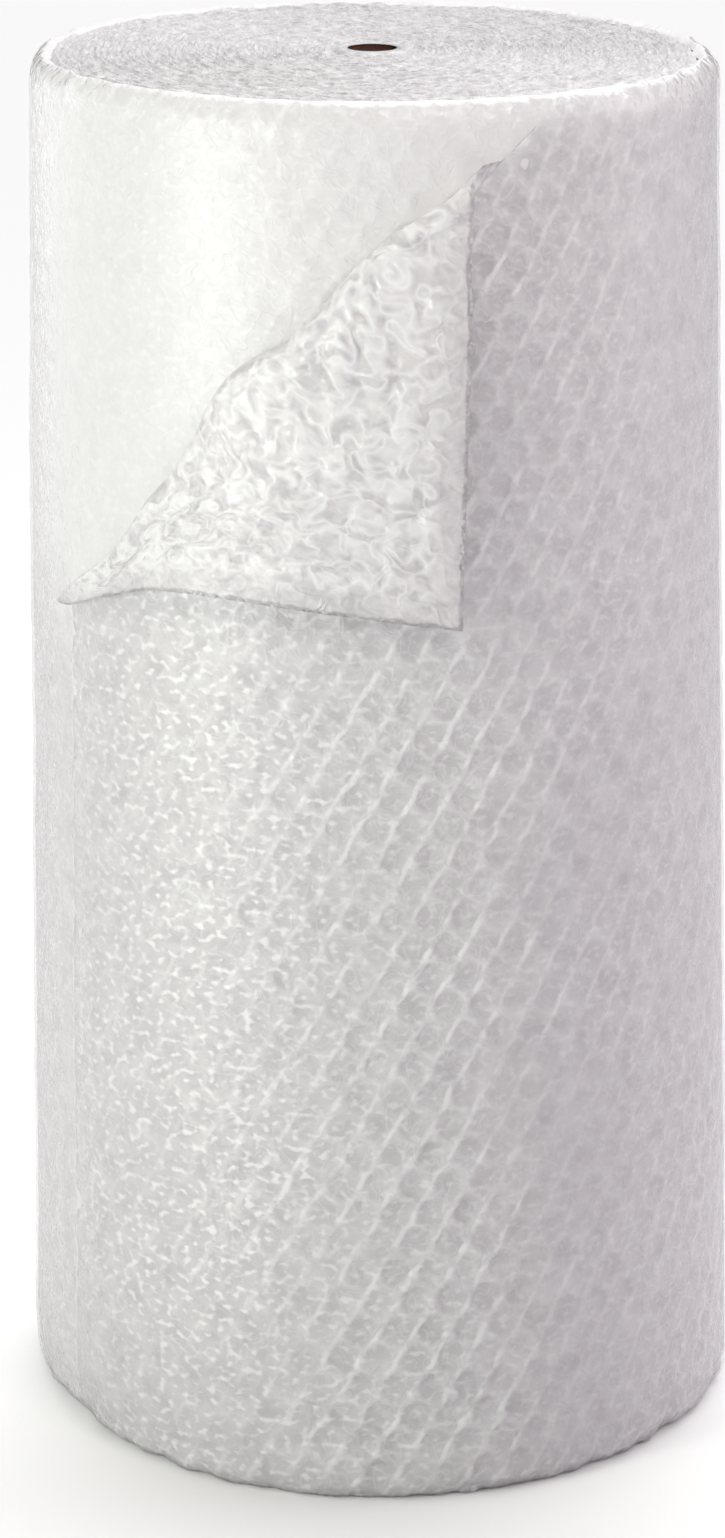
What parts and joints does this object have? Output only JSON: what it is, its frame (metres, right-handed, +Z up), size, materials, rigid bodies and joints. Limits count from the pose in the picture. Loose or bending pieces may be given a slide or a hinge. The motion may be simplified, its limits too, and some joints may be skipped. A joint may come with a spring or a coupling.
{
  "type": "bubble wrap roll",
  "caption": "Tall roll of clear bubble film wound on a cardboard core, standing on end with its top corner folded down.",
  "frame": {"origin": "centre of the core's bore at the floor, on the roll's lower end", "axes": "+Z up along the core, the front with the turned-down corner faces -Y, +X to the right seen from the front"},
  "size_m": [0.608, 0.6275, 1.2],
  "materials": {
    "core_board": "plain brown core board, spiral wound",
    "bubble_film": "clear glossy polyethylene film that looks white where many turns lie together"
  },
  "bodies": {
    "root": {"core_tube": "core_board", "bubble_wrap": "bubble_film"}
  },
  "joints": []
}
